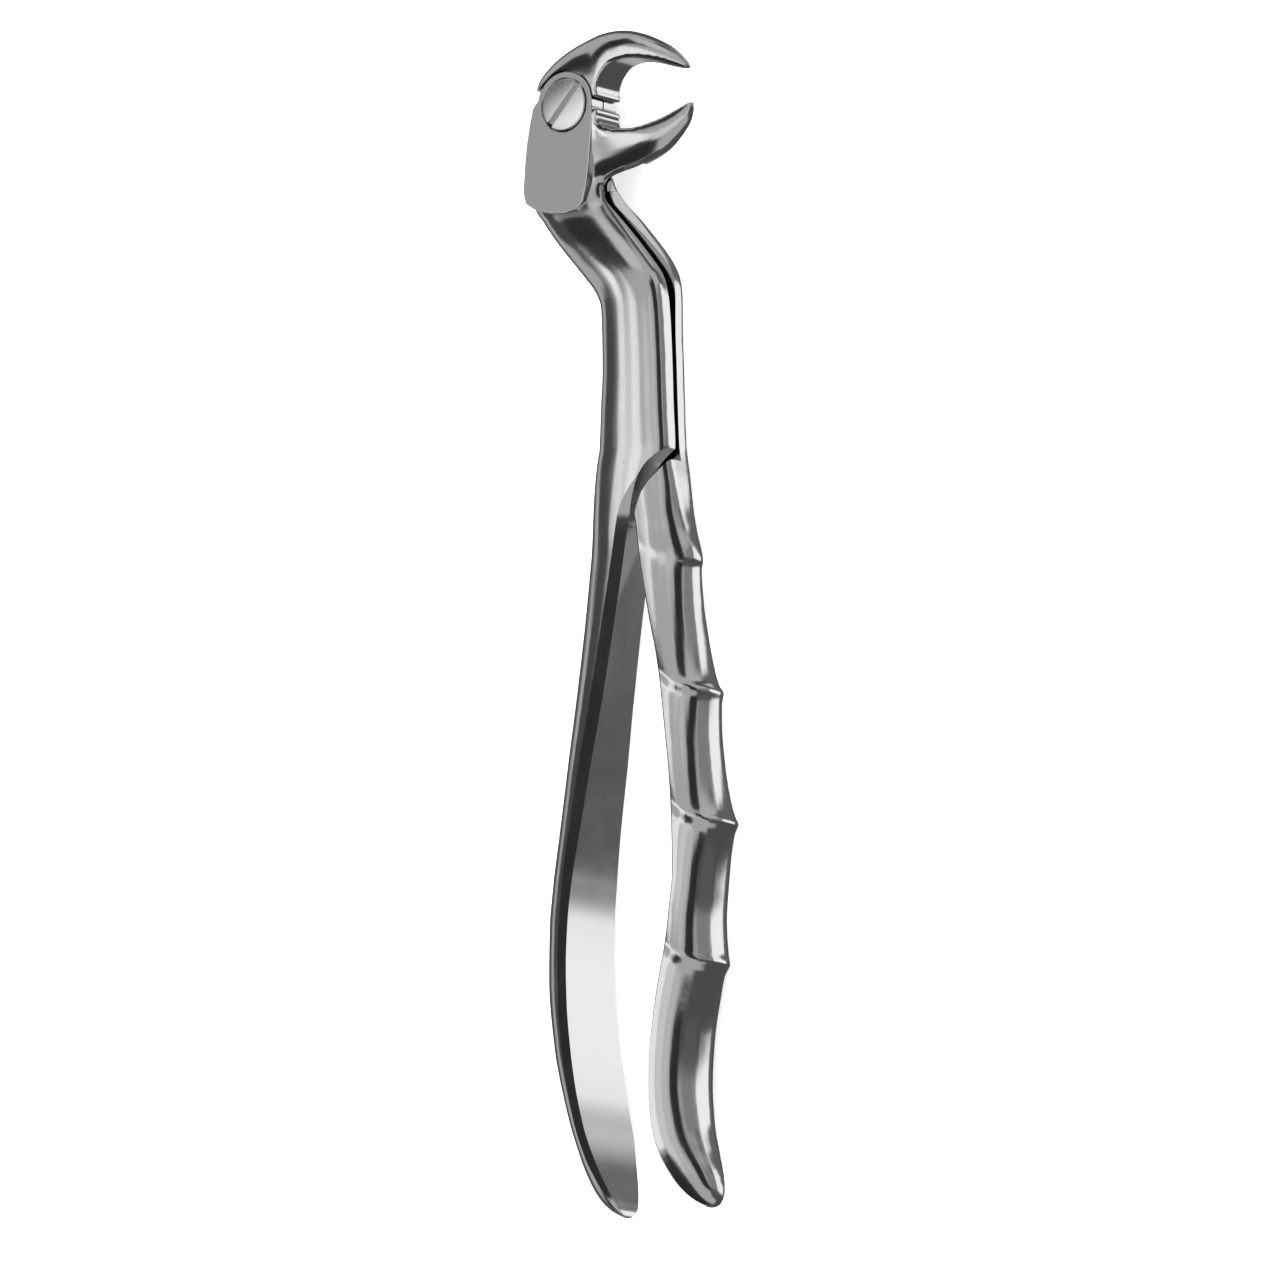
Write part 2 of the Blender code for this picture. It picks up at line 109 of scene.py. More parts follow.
def turned(point, angle):
    x, y = point
    return (x * math.cos(angle) - y * math.sin(angle), x * math.sin(angle) + y * math.cos(angle))


def closePiece(piece, bm):
    # the bmesh is in millimetres from the pivot; the piece sits at the origin with its place in its mesh
    bmesh.ops.scale(bm, verts=bm.verts, vec=(mm, mm, mm))
    bmesh.ops.translate(bm, verts=bm.verts, vec=pivot)
    bm.to_mesh(piece.data)
    bm.free()


def newPiece(name, bm):
    piece = bpy.data.objects.new(name, bpy.data.meshes.new(name))
    bpy.context.scene.collection.objects.link(piece)
    closePiece(piece, bm)
    return piece


def openPiece(piece):
    # back to a bmesh in millimetres from the pivot
    bm = bmesh.new()
    bm.from_mesh(piece.data)
    bmesh.ops.translate(bm, verts=bm.verts, vec=-pivot)
    bmesh.ops.scale(bm, verts=bm.verts, vec=(1 / mm, 1 / mm, 1 / mm))
    return bm


def drawnOut(name, rings):
    # a ring of vertices, extruded from one section to the next, with both ends closed
    bm = bmesh.new()
    bmesh.ops.create_circle(bm, segments=len(rings[0]), radius=1, cap_ends=True)
    number = bm.verts.layers.int.new("number")
    bm.verts.ensure_lookup_table()
    for k, vert in enumerate(bm.verts):
        vert[number] = k
        vert.co = rings[0][k]
    edges = list(bm.edges)
    for ring in rings[1:]:
        made = bmesh.ops.extrude_edge_only(bm, edges=edges)["geom"]
        edges = [item for item in made if isinstance(item, bmesh.types.BMEdge)]
        edges = [edge for edge in edges if len(edge.link_faces) == 1]
        for vert in {vert for edge in edges for vert in edge.verts}:
            vert.co = ring[vert[number]]
    bmesh.ops.holes_fill(bm, edges=edges)
    bmesh.ops.remove_doubles(bm, verts=bm.verts, dist=weld["swept"])
    bmesh.ops.recalc_face_normals(bm, faces=bm.faces)
    return newPiece(name, bm)


def slab(name, outline, low, high, topBevel=0.0):
    # a flat outline pushed up; topBevel rounds its upper rim
    bm = bmesh.new()
    face = bm.faces.new([bm.verts.new((x, y, low)) for x, y in outline])
    made = bmesh.ops.extrude_face_region(bm, geom=[face])["geom"]
    top = [item for item in made if isinstance(item, bmesh.types.BMFace)]
    bmesh.ops.translate(bm, verts=top[0].verts, vec=(0, 0, high - low))
    bmesh.ops.recalc_face_normals(bm, faces=bm.faces)
    if topBevel:
        bmesh.ops.bevel(
            bm, geom=list(top[0].edges), affect="EDGES", offset=topBevel, offset_type="OFFSET",
            segments=3, profile=0.5, material=-1, clamp_overlap=True,
        )
    return newPiece(name, bm)


def spun(name, profile):
    # a profile of (radius, height), turned about the pivot
    bm = bmesh.new()
    verts = [bm.verts.new((radius, 0, height)) for radius, height in profile]
    edges = [bm.edges.new(pair) for pair in zip(verts, verts[1:])]
    bmesh.ops.spin(
        bm, geom=verts + edges, cent=(0, 0, 0), axis=(0, 0, 1), angle=2 * math.pi,
        steps=turnSteps, use_merge=True,
    )
    bmesh.ops.remove_doubles(bm, verts=bm.verts, dist=weld["turned"])
    bmesh.ops.recalc_face_normals(bm, faces=bm.faces)
    return newPiece(name, bm)


def settle(piece):
    # apply the live modifiers
    graph = bpy.context.evaluated_depsgraph_get()
    mesh = bpy.data.meshes.new_from_object(piece.evaluated_get(graph))
    piece.modifiers.clear()
    piece.data = mesh


def combine(piece, operation, others):
    for other in others:
        modifier = piece.modifiers.new(operation.lower(), "BOOLEAN")
        modifier.operation = operation
        modifier.solver = "MANIFOLD"
        modifier.object = other
    settle(piece)
    for other in others:
        bpy.data.objects.remove(other)
    print("  ", piece.name, operation.lower(), len(piece.data.polygons), "faces")


def remesh(piece, size):
    modifier = piece.modifiers.new("skin", "REMESH")
    modifier.mode = "VOXEL"
    modifier.voxel_size = size * mm
    settle(piece)


# the bars: neck, shank and handle of each half

bars = {
    "top": -9.0,
    "step": 0.4,
    "rowRoom": 0.15,
    "cornerPoints": 9,
    "sliver": 0.02,
    "crownUp": 2.7,
    "crownPower": 2.25,
    "handlePower": 2.1,
    "edgePower": 2.0,
    "edge": 0.3,
    "spare": 1.0,
    "spareFrom": -64,
    "beyond": 3.0,
    "handleStart": -54.0,
    "handleFull": -70.0,
    "crestClimb": 11,
    "crestDrop": 1.6,
    "liftOn": (-60, -72),
    "liftOff": (-150, -138),
    "shankLeft": [
        (-9, -7.1), (-13, -7.5), (-15, -7.1), (-17, -5.5), (-19.5, -3.3), (-25, 1.8), (-27.2, 3.8),
        (-29.2, 5.4), (-31.5, 6.4), (-35, 6.6), (-41, 6.7), (-47, 6.4), (-53.4, 6.1),
    ],
    "frontRight": [
        (-9, 5.0), (-13, 5.6), (-15, 6.2), (-17, 7.9), (-19.5, 10.2), (-25, 14.9), (-27.2, 16.5),
        (-29.2, 17.3), (-31.5, 17.7), (-35, 18.0), (-41, 18.3), (-47, 18.5), (-53.4, 18.8),
    ],
    "rearRight": [
        (-9, 5.4), (-13, 7.1), (-15, 8.5), (-17, 10.3), (-19.5, 12.4), (-25, 16.6), (-27.2, 17.7),
        (-29.2, 18.1), (-31.5, 18.2), (-35, 18.2), (-41, 18.4), (-47, 18.6), (-53.4, 18.9),
    ],
}
palmHandle = {
    "end": -168.1,
    "half": [
        (-9, 2.4), (-15, 2.5), (-18, 3.3), (-22, 4.1), (-27, 4.4), (-60, 4.5), (-75, 4.7), (-91, 5.3),
        (-100, 5.9), (-109, 6.25), (-118, 6.7), (-130, 7.0), (-142, 7.2), (-149, 7.4), (-154.5, 7.3),
        (-159, 6.5), (-163.5, 4.9), (-166.4, 3.2), (-167.6, 1.8), (-168.1, 0.7),
    ],
    "side": 1,
    "inner": [
        (-53.8, 18.9), (-54.2, 18.3), (-55, 17.2), (-56, 16.0), (-58.1, 14.5), (-60, 13.5), (-62, 12.75),
        (-65, 12.1), (-69.3, 11.4), (-79, 9.8), (-90.7, 7.9), (-99.6, 6.4), (-108.6, 4.9), (-117.6, 3.55),
        (-123.6, 2.95), (-129.7, 2.75), (-136, 2.95), (-142, 3.55), (-149.6, 4.9), (-155, 6.2),
        (-159.7, 7.45), (-163.9, 8.8), (-166.4, 9.6), (-167.6, 9.9), (-168.1, 9.8),
    ],
    "outer": [
        (-54.2, 5.9), (-60, 4.9), (-68.5, 3.9), (-80, 2.7), (-96, 0.75), (-112, -1.2), (-118.6, -2.0),
        (-125, -2.5), (-132, -2.5), (-142.5, -1.3), (-150, 0.6), (-156.7, 2.6), (-162.8, 4.4),
        (-165.6, 5.9), (-167.1, 7.4), (-168.1, 9.1),
    ],
    "chamfer": [
        (-53.4, 0.0), (-57, 0.1), (-60, 0.7), (-64, 1.3), (-91, 1.4), (-109, 1.3), (-118, 1.1),
        (-130, 1.0), (-149, 1.1), (-159, 1.1), (-164, 0.8), (-168.1, 0.3),
    ],
    "lift": 0.0,
    "crests": [],
    "crestRise": 0.0,
}
fingerHandle = {
    "end": -167.6,
    "half": [
        (-9, 2.7), (-15, 2.8), (-18, 3.5), (-22, 4.1), (-27, 4.4), (-60, 4.5), (-75, 4.7), (-90, 5.2),
        (-110, 5.6), (-123, 5.8), (-140, 6.2), (-150, 6.3), (-158, 5.8), (-163, 4.4), (-166, 2.8),
        (-167.2, 1.5), (-167.6, 0.6),
    ],
    "side": -1,
    "inner": [
        (-53.8, 6.0), (-54.2, 6.6), (-55, 7.8), (-56, 9.1), (-58.1, 11.0), (-60, 12.3), (-62, 13.3),
        (-65, 14.1), (-67.3, 14.4), (-73.2, 15.4), (-79.6, 16.8), (-85.2, 18.2), (-88.8, 18.9), (-96, 19.9),
        (-104, 20.9), (-111, 21.4), (-118, 21.6), (-123, 21.1), (-128.5, 20.4), (-133.4, 19.4),
        (-139.4, 18.4), (-146.4, 17.7), (-151, 17.7), (-155.8, 18.1), (-160, 19.2), (-163.4, 20.8),
        (-165.6, 22.4), (-167.0, 24.0), (-167.6, 25.0),
    ],
    "outer": [
        (-54.2, 19.0), (-58, 19.7), (-63, 20.6), (-66, 21.4), (-70.8, 22.7), (-71.9, 22.4), (-77, 22.7),
        (-82, 23.4), (-86.5, 24.2), (-89.6, 25.1), (-90.8, 26.0), (-92.0, 25.8), (-96, 25.7), (-101, 26.1),
        (-106, 26.9), (-109.5, 27.9), (-110.6, 28.5), (-111.9, 28.0), (-116, 27.1), (-120, 26.6),
        (-125, 26.2), (-130, 26.5), (-131.4, 26.8), (-132.6, 26.1), (-136, 25.2), (-142, 24.0),
        (-149, 23.5), (-154.6, 24.0), (-159, 25.1), (-163, 26.4), (-165.4, 26.8), (-167.0, 26.5),
        (-167.6, 25.8),
    ],
    "chamfer": [(-53.4, 0.0), (-57, 0.1), (-62, 0.5), (-150, 0.6), (-163, 0.5), (-167.6, 0.2)],
    "lift": 4.5,
    "crests": [(-70.8, 0.2), (-90.8, 1.2), (-110.6, 1.2), (-131.4, 1.0)],
    "crestRise": 0.09,
}


def cornerRun(reachAcross, reachUp, power):
    # one rounded corner, from its side face to its top face; power 1 is a chamfer, 2 an ellipse
    run = []
    for k in range(bars["cornerPoints"]):
        angle = 0.5 * math.pi * k / (bars["cornerPoints"] - 1)
        across = reachAcross * (1 - math.cos(angle) ** (2 / power))
        run.append((across, reachUp * (1 - math.sin(angle) ** (2 / power))))
    return run


def sectionRun(width, half, outer, inner):
    # a closed section as (across, height): across runs from the outer side to the inner face
    front = [(u, half - z) for u, z in cornerRun(*outer)]
    front += [(width - u, half - z) for u, z in reversed(cornerRun(*inner))]
    return front + [(u, -z) for u, z in reversed(front)]


def crestAt(y, crests):
    # climbs slowly to each finger crest and drops quickly past it
    rises = []
    for at, size in crests:
        climb = share(y, at + bars["crestClimb"], at)
        rises.append(size * climb ** 2 * share(y, at - bars["crestDrop"], at))
    return max(rises, default=0.0)


def barRing(y, outerRows, innerRows, values):
    outerX = curveAt(outerRows, y)
    innerX = curveAt(innerRows, y)
    half = curveAt(values["half"], y)
    handle = ease(y, bars["handleStart"], bars["handleFull"])
    depth = abs(innerX - outerX)
    edge = min(bars["edge"], 0.2 * depth + bars["sliver"])
    crown = min(bars["crownUp"], 0.9 * half)
    crownPower = bars["crownPower"]
    points = sectionRun(
        depth, half,
        (
            min(blend(0.5 * depth, 0.8 * depth, handle), depth - edge - bars["sliver"]),
            blend(crown, 0.98 * half, handle),
            blend(crownPower, bars["handlePower"], handle),
        ),
        (
            min(blend(0.5 * depth, edge, handle), 0.5 * depth),
            blend(crown, min(bars["edge"], 0.4 * half), handle),
            blend(crownPower, bars["edgePower"], handle),
        ),
    )
    lift = values["lift"] * share(y, *bars["liftOn"]) * share(y, *bars["liftOff"])
    ring = []
    for u, z in points:
        t = u / depth
        up = y + lift * t * t
        thicker = 1 + values["crestRise"] * crestAt(y, values["crests"]) * (1 - t * t)
        thick = z * thicker * curveAt(values["half"], up) / half
        ring.append((outerX + (curveAt(innerRows, up) - outerX) * t, up, thick))
    return ring


def makeBar(name, outerShank, innerShank, values):
    # the inner side stands a little proud, for faceCutter to trim, and each outer row has its own section
    spare = values["side"] * bars["spare"]
    outerRows = outerShank + values["outer"]
    innerRows = innerShank + [(y, x + spare) for y, x in values["inner"] if y < bars["spareFrom"]]
    rows = [y for y, x in values["outer"] if y > values["end"]]
    count = int((bars["top"] - values["end"]) / bars["step"])
    levels = [bars["top"] + (values["end"] - bars["top"]) * k / count for k in range(count + 1)]
    levels = [y for y in levels if all(abs(y - row) > bars["rowRoom"] for row in rows)] + rows
    return drawnOut(name, [barRing(y, outerRows, innerRows, values) for y in sorted(levels, reverse=True)])


def faceCutter(values):
    # everything beyond a handle's flat inner face and its two chamfers
    side = values["side"]
    start = values["inner"][0][0]
    count = int((start - values["end"] + bars["beyond"]) / bars["step"])
    rings = []
    for k in range(count + 1):
        y = start - bars["step"] * k
        x = curveAt(values["inner"], y)
        half = curveAt(values["half"], y)
        chamfer = min(curveAt(values["chamfer"], y), 0.6 * half)
        back = x - side * (chamfer + bars["beyond"])
        out = x + side * 4 * bars["beyond"]
        wall = half - chamfer
        rim = half + bars["beyond"]
        upper = [(x, y, wall), (back, y, rim), (out, y, rim)]
        rings.append([(x, y, -wall)] + upper + [(out, y, -rim), (back, y, -rim)])
    return drawnOut("faceCutter", rings)


# the beaks, from root to tip: throat x and y, back x and y, half thickness, and how round the throat is

beaks = {
    "upper": [
        (-3.4, 1.6, -6.3, 3.1, 3.15, 0.0), (-2.4, 2.4, -5.5, 5.0, 3.15, 0.0),
        (-0.5, 2.6, -3.0, 7.3, 3.15, 0.0), (2.0, 2.0, 0.1, 9.0, 3.15, 0.0),
        (5.8, 0.5, 3.2, 10.1, 3.15, 0.0), (5.85, 2.0, 5.2, 10.6, 3.15, 0.0),
        (6.5, 3.8, 7.0, 10.75, 3.1, 0.0), (7.8, 5.2, 9.0, 10.7, 3.0, 0.0),
        (9.9, 5.9, 11.6, 10.2, 2.85, 0.05), (12.6, 5.75, 14.4, 9.1, 2.5, 0.3),
        (15.6, 5.0, 17.2, 7.6, 2.0, 0.6), (18.4, 4.1, 19.5, 5.8, 1.3, 0.8), (20.7, 3.5, 21.1, 4.1, 0.6, 1.0),
    ],
    "lower": [
        (2.5, -1.2, 0.5, -12.5, 3.1, 0.0), (5.8, -1.1, 4.4, -12.3, 3.1, 0.0),
        (5.8, -2.5, 6.8, -11.4, 3.1, 0.1), (6.4, -3.6, 9.2, -10.8, 3.1, 0.3),
        (7.7, -4.2, 11.9, -10.2, 3.05, 0.5), (9.9, -4.55, 14.7, -9.3, 2.9, 0.8),
        (12.3, -4.65, 17.2, -8.1, 2.6, 1.0), (14.7, -4.2, 19.3, -6.4, 2.1, 1.0),
        (17.2, -3.4, 21.0, -4.6, 1.5, 1.0), (19.6, -2.3, 21.7, -2.9, 0.9, 1.0),
        (21.2, -1.5, 21.9, -1.7, 0.4, 1.0),
    ],
    "middle": -0.15,
    "edge": 0.3,
    "steps": 6,
    "crown": {"upperHorn": 0.62, "lowerHorn": 0.94},
    "crownUp": 0.85,
    "crownPower": 2.1,
    "throatPower": 2.0,
}


def makeBeak(name, rows):
    rings = []
    for k in range((len(rows) - 1) * beaks["steps"] + 1):
        throatX, throatY, backX, backY, half, roundness = pathAt(rows, k / beaks["steps"])
        roundness = min(1.0, max(0.0, roundness))
        across = math.hypot(backX - throatX, backY - throatY)
        crownShare = beaks["crown"][name]
        edgeAcross = blend(beaks["edge"], min(0.45, 0.98 - crownShare) * across, roundness)
        edgeUp = blend(beaks["edge"], 0.95 * half, roundness)
        crown = (crownShare * across, beaks["crownUp"] * half, beaks["crownPower"])
        ring = []
        for u, z in sectionRun(across, half, crown, (edgeAcross, edgeUp, beaks["throatPower"])):
            t = u / across
            ring.append((backX + (throatX - backX) * t, backY + (throatY - backY) * t, z + beaks["middle"]))
        rings.append(ring)
    return drawnOut(name, rings)


# the lap joint

joint = {
    "front": 3.0,
    "rear": -3.3,
    "gap": 0.3,
    "shankGap": 0.9,
    "hub": 5.1,
    "hubRoom": 5.4,
    "plateBevel": 0.4,
    "plateSeat": 0.05,
    "lapTop": -13.4,
    "aside": 30,
    "away": 12,
    "left": [
        (-5.4, 0.75), (-5.9, 0.1), (-6.5, -2.3), (-7.0, -5.0), (-7.3, -7.4), (-7.7, -12.5), (-7.2, -14.3),
    ],
    "foot": [(-5.2, -15.6), (-2.4, -16.4), (0.2, -16.6), (2.3, -16.2), (3.5, -15.0), (4.2, -12.3)],
    "rearFoot": [(-4.5, -16.0), (3.0, -18.0)],
    "right": [(4.6, -9.5), (5.1, -4.5), (5.2, -1.0)],
    "rearRight": [(3.6, -4.3), (5.0, -8.5), (5.4, -11.0), (4.8, -14.0)],
    "rearSweep": [(3.6, -4.3), (5.6, -8.5), (6.6, -11.0), (7.8, -13.3), (9.6, -16.7)],
    "frontShoulder": [
        (19.3, -55.6), (18.8, -56.4), (17.8, -57.7), (16.65, -58.9), (15.5, -60.4), (14.7, -62.2),
        (14.25, -64.0), (13.9, -65.6),
    ],
    "rearShoulder": [
        (4.6, -55.1), (6.2, -56.3), (7.3, -57.6), (8.8, -59.3), (10.2, -61.2), (11.5, -63.6), (12.3, -66.0),
    ],
    "frontBore": [(0, 6), (4.6, 6), (4.6, 3.35), (4.15, 2.9), (4.15, 1.3), (2.8, 1.3), (2.8, -6), (0, -6)],
    "rearBore": [(0, 6), (2.3, 6), (2.3, -6), (0, -6)],
}

# the remeshed skin, how often it is relaxed, and the round corner between the neck and the lower beak
skin = {
    "voxel": 0.27,
    "relax": 3,
    "relaxBy": 0.5,
    "fillet": 40,
    "corner": Vector((7.4, -12.4, 1.5)),
    "cornerReach": 3.4,
}


def relax(bm, chosen, times):
    verts = [vert for vert in bm.verts if chosen(vert.co)]
    for _ in range(times):
        bmesh.ops.smooth_vert(
            bm, verts=verts, factor=skin["relaxBy"], use_axis_x=True, use_axis_y=True, use_axis_z=True,
        )


def makeFrontHalf():
    half = makeBar("frontHalf", bars["shankLeft"], bars["frontRight"], palmHandle)
    side, top, away = joint["aside"], joint["lapTop"], joint["away"]
    lapEnd = joint["rearShoulder"]
    under = [(-side, top), (side, top), (side, -66)] + lapEnd[::-1] + [(-side, lapEnd[0][1])]
    combine(half, "UNION", [makeBeak("lowerHorn", beaks["lower"])])
    remesh(half, skin["voxel"])
    bm = openPiece(half)
    relax(bm, lambda co: True, skin["relax"])
    relax(bm, lambda co: (co - skin["corner"]).length < skin["cornerReach"], skin["fillet"])
    closePiece(half, bm)
    lap = slab("under", under, -away, 0.5 * joint["shankGap"])
    combine(half, "DIFFERENCE", [lap, faceCutter(palmHandle)])
    outline = onCircle(joint["hub"], -10, 168, 60) + joint["left"] + joint["foot"] + joint["right"]
    plate = slab("plate", outline, joint["plateSeat"], joint["front"], topBevel=joint["plateBevel"])
    combine(half, "UNION", [plate])
    space = [(-side, 8), (5.3, 8)] + onCircle(joint["hubRoom"], -4, -28, 12)
    space += [turned(point, openingStop) for point in joint["rearSweep"]]
    space += [(16, -12.6), (side, -12.6), (side, -20), (-side, -20)]
    room = slab("space", space, -away, 0.5 * joint["gap"])
    combine(half, "DIFFERENCE", [room, spun("bore", joint["frontBore"])])
    return half


def makeRearHalf():
    half = makeBar("rearHalf", bars["rearRight"], bars["shankLeft"], fingerHandle)
    side, top, away = joint["aside"], joint["lapTop"], joint["away"]
    lapEnd = joint["frontShoulder"]
    over = [(-side, top), (-side, -66.5), (12, -66.5)] + lapEnd[::-1] + [(side, -55.2), (side, top)]
    combine(half, "UNION", [makeBeak("upperHorn", beaks["upper"])])
    remesh(half, skin["voxel"])
    bm = openPiece(half)
    relax(bm, lambda co: True, skin["relax"])
    closePiece(half, bm)
    lap = slab("over", over, -0.5 * joint["shankGap"], away)
    combine(half, "DIFFERENCE", [lap, faceCutter(fingerHandle)])
    outline = onCircle(joint["hub"], -50, 168, 60) + joint["left"]
    outline += joint["rearFoot"] + joint["rearRight"][::-1]
    combine(half, "UNION", [slab("plate", outline, joint["rear"], -joint["plateSeat"])])
    space = onCircle(joint["hubRoom"], 4, 149, 60)
    space += [(-side, 3.0), (-side, -20), (side, -20), (side, 0.35)]
    room = slab("space", space, -0.5 * joint["gap"], away)
    combine(half, "DIFFERENCE", [room, spun("bore", joint["rearBore"])])
    return half


screw = {
    "head": 3.95,
    "top": 3.2,
    "under": 1.6,
    "rim": 0.22,
    "neck": 2.5,
    "thread": 2.1,
    "end": -3.2,
    "slotWidth": 1.1,
    "slotDepth": 1.15,
    "slotTurn": math.radians(47),
}


def makeScrew():
    rim = [(screw["head"] - screw["rim"] * (1 - math.sin(a)), screw["top"] - screw["rim"] * (1 - math.cos(a)))
           for a in (0, 0.4, 0.8, 1.2, 0.5 * math.pi)]
    profile = [(0, screw["top"])] + rim + [
        (screw["head"], screw["under"]), (screw["neck"], screw["under"]), (screw["neck"], 0.5),
        (screw["thread"], 0.1), (screw["thread"], screw["end"] + 0.3), (screw["thread"] - 0.3, screw["end"]),
        (0, screw["end"]),
    ]
    piece = spun("pivotScrew", profile)
    half = 0.5 * screw["slotWidth"]
    outline = [turned(point, screw["slotTurn"]) for point in ((-5, -half), (5, -half), (5, half), (-5, half))]
    combine(piece, "DIFFERENCE", [slab("slot", outline, screw["top"] - screw["slotDepth"], screw["top"] + 1)])
    return piece


print("front half")
frontHalf = makeFrontHalf()
print("rear half")
rearHalf = makeRearHalf()
print("pivot screw")
pivotScrew = makeScrew()


# shader maths


class Wire:
    # a shader socket that takes part in Python sums
    def __init__(self, board, socket):
        self.board = board
        self.socket = socket

    def maths(self, operation, *values):
        return self.board.add("ShaderNodeMath", {"operation": operation}, dict(enumerate(values)))

    def __add__(self, other):
        return self.maths("ADD", self, other)

    def __radd__(self, other):
        return self.maths("ADD", other, self)

    def __sub__(self, other):
        return self.maths("SUBTRACT", self, other)

    def __rsub__(self, other):
        return self.maths("SUBTRACT", other, self)

    def __mul__(self, other):
        return self.maths("MULTIPLY", self, other)

    def __rmul__(self, other):
        return self.maths("MULTIPLY", other, self)

    def __truediv__(self, other):
        return self.maths("DIVIDE", self, other)

    def __rtruediv__(self, other):
        return self.maths("DIVIDE", other, self)


class Board:
    # one node tree
    def __init__(self, tree):
        self.tree = tree

    def add(self, kind, settings, sockets, output=0):
        node = self.tree.nodes.new(kind)
        for name, value in settings.items():
            setattr(node, name, value)
        for name, value in sockets.items():
            self.plug(node.inputs[name], value)
        return Wire(self, node.outputs[output])

    def plug(self, socket, value):
        if isinstance(value, Wire):
            self.tree.links.new(value.socket, socket)
        else:
            socket.default_value = value

    def soften(self, value):
        # 0 to 1 with level ends
        held = self.add("ShaderNodeClamp", {}, {"Value": value})
        return held * held * (3 - 2 * held)


# steel

finishes = {
    "frontHalf": {"grey": 0.64, "roughness": 0.14},
    "rearHalf": {"grey": 0.64, "roughness": 0.14},
    "pivotScrew": {"grey": 0.84, "roughness": 0.28},
    "satin": {"grey": 0.56, "roughness": 0.38},
}

# the size of the drawn marks, the cloudy wear and the grain, and how much each one shows
wear = {
    "drawn": (9000, 500, 9000),
    "clouds": 160.0,
    "grain": 5200.0,
    "cloudTone": 0.05,
    "grainTone": 0.06,
    "cool": 1.005,
    "marksRough": 0.1,
    "cloudsRough": 0.08,
    "marksHigh": 0.35,
    "grainHigh": 0.65,
    "bump": 0.12,
    "bumpDepth": 0.00003,
}


def steel(name, grey, roughness):
    # polished steel with faint drawn marks along the tool, cloudy wear and a fine grain
    material = bpy.data.materials.new(name + "Steel")
    material.use_nodes = True
    board = Board(material.node_tree)
    shader = material.node_tree.nodes["Principled BSDF"]
    place = board.add("ShaderNodeTexCoord", {}, {}, "Object")
    drawn = board.add("ShaderNodeMapping", {}, {"Vector": place, "Scale": wear["drawn"]})
    marks = board.add("ShaderNodeTexNoise", {}, {"Vector": drawn, "Scale": 1.0, "Detail": 2.0})
    clouds = board.add("ShaderNodeTexNoise", {}, {"Vector": place, "Scale": wear["clouds"], "Detail": 3.0})
    grain = board.add("ShaderNodeTexNoise", {}, {"Vector": place, "Scale": wear["grain"], "Detail": 2.0})
    tone = grey + (clouds - 0.5) * wear["cloudTone"] + (grain - 0.5) * wear["grainTone"]
    colour = board.add("ShaderNodeCombineColor", {}, {0: tone, 1: tone, 2: tone * wear["cool"]})
    board.plug(shader.inputs["Base Color"], colour)
    shader.inputs["Metallic"].default_value = 1
    rough = roughness + (marks - 0.5) * wear["marksRough"] + (clouds - 0.5) * wear["cloudsRough"]
    board.plug(shader.inputs["Roughness"], rough)
    height = marks * wear["marksHigh"] + grain * wear["grainHigh"]
    relief = {"Strength": wear["bump"], "Distance": wear["bumpDepth"], "Height": height}
    board.plug(shader.inputs["Normal"], board.add("ShaderNodeBump", {}, relief, "Normal"))
    return material


print("steel")
sharpAngle = math.radians(32)
for piece, body, node, slotName in (
    (frontHalf, "front", "front_half", "front_steel"),
    (rearHalf, "rear", "rear_half", "rear_steel"),
    (pivotScrew, "rear", "pivot_screw", "screw_steel"),
):
    piece.data.materials.clear()
    piece.data.materials.append(steel(piece.name, **finishes[piece.name]))
    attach(piece, body)
    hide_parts(node)
    piece.data.shade_smooth()
    piece.data.set_sharp_from_angle(angle=sharpAngle)
    flats = piece.modifiers.new("flats", "WEIGHTED_NORMAL")
    flats.keep_sharp = True

# the plate's flat face is ground to a satin finish
frontHalf.data.materials.append(steel("satin", **finishes["satin"]))
plateHeight = pivot.z + joint["front"] * mm
levelNormal = 0.99
levelRoom = 0.02 * mm
for face in frontHalf.data.polygons:
    level = face.normal.z > levelNormal and abs(face.center.z - plateHeight) < levelRoom
    face.material_index = int(level)

# camera, floor and light

view = {
    "toCamera": Vector((0.588, -0.156, 0.794)),
    "right": Vector((0.804, 0.0, -0.595)),
    "up": Vector((0.0931, 0.9877, 0.1258)),
    "width": 0.192,
    "distance": 2.0,
    "across": 9.6,
    "along": -79.8,
    "sensor": 36,
    "nearest": 0.1,
    "farthest": 20,
}
paper = {"size": 3, "grey": 0.9, "roughness": 0.9, "glow": 0.35}


def addCamera():
    data = bpy.data.cameras.new("camera")
    data.sensor_width = view["sensor"]
    data.lens = view["sensor"] * view["distance"] / view["width"]
    data.clip_start = view["nearest"]
    data.clip_end = view["farthest"]
    camera = bpy.data.objects.new("camera", data)
    target = pivot + (view["right"] * view["across"] + view["up"] * view["along"]) * mm
    back = view["toCamera"].normalized()
    side = (view["right"] - back * view["right"].dot(back)).normalized()
    turn = Matrix((side, back.cross(side), back)).transposed()
    camera.matrix_world = Matrix.Translation(target + back * view["distance"]) @ turn.to_4x4()
    bpy.context.scene.collection.objects.link(camera)
    bpy.context.scene.camera = camera


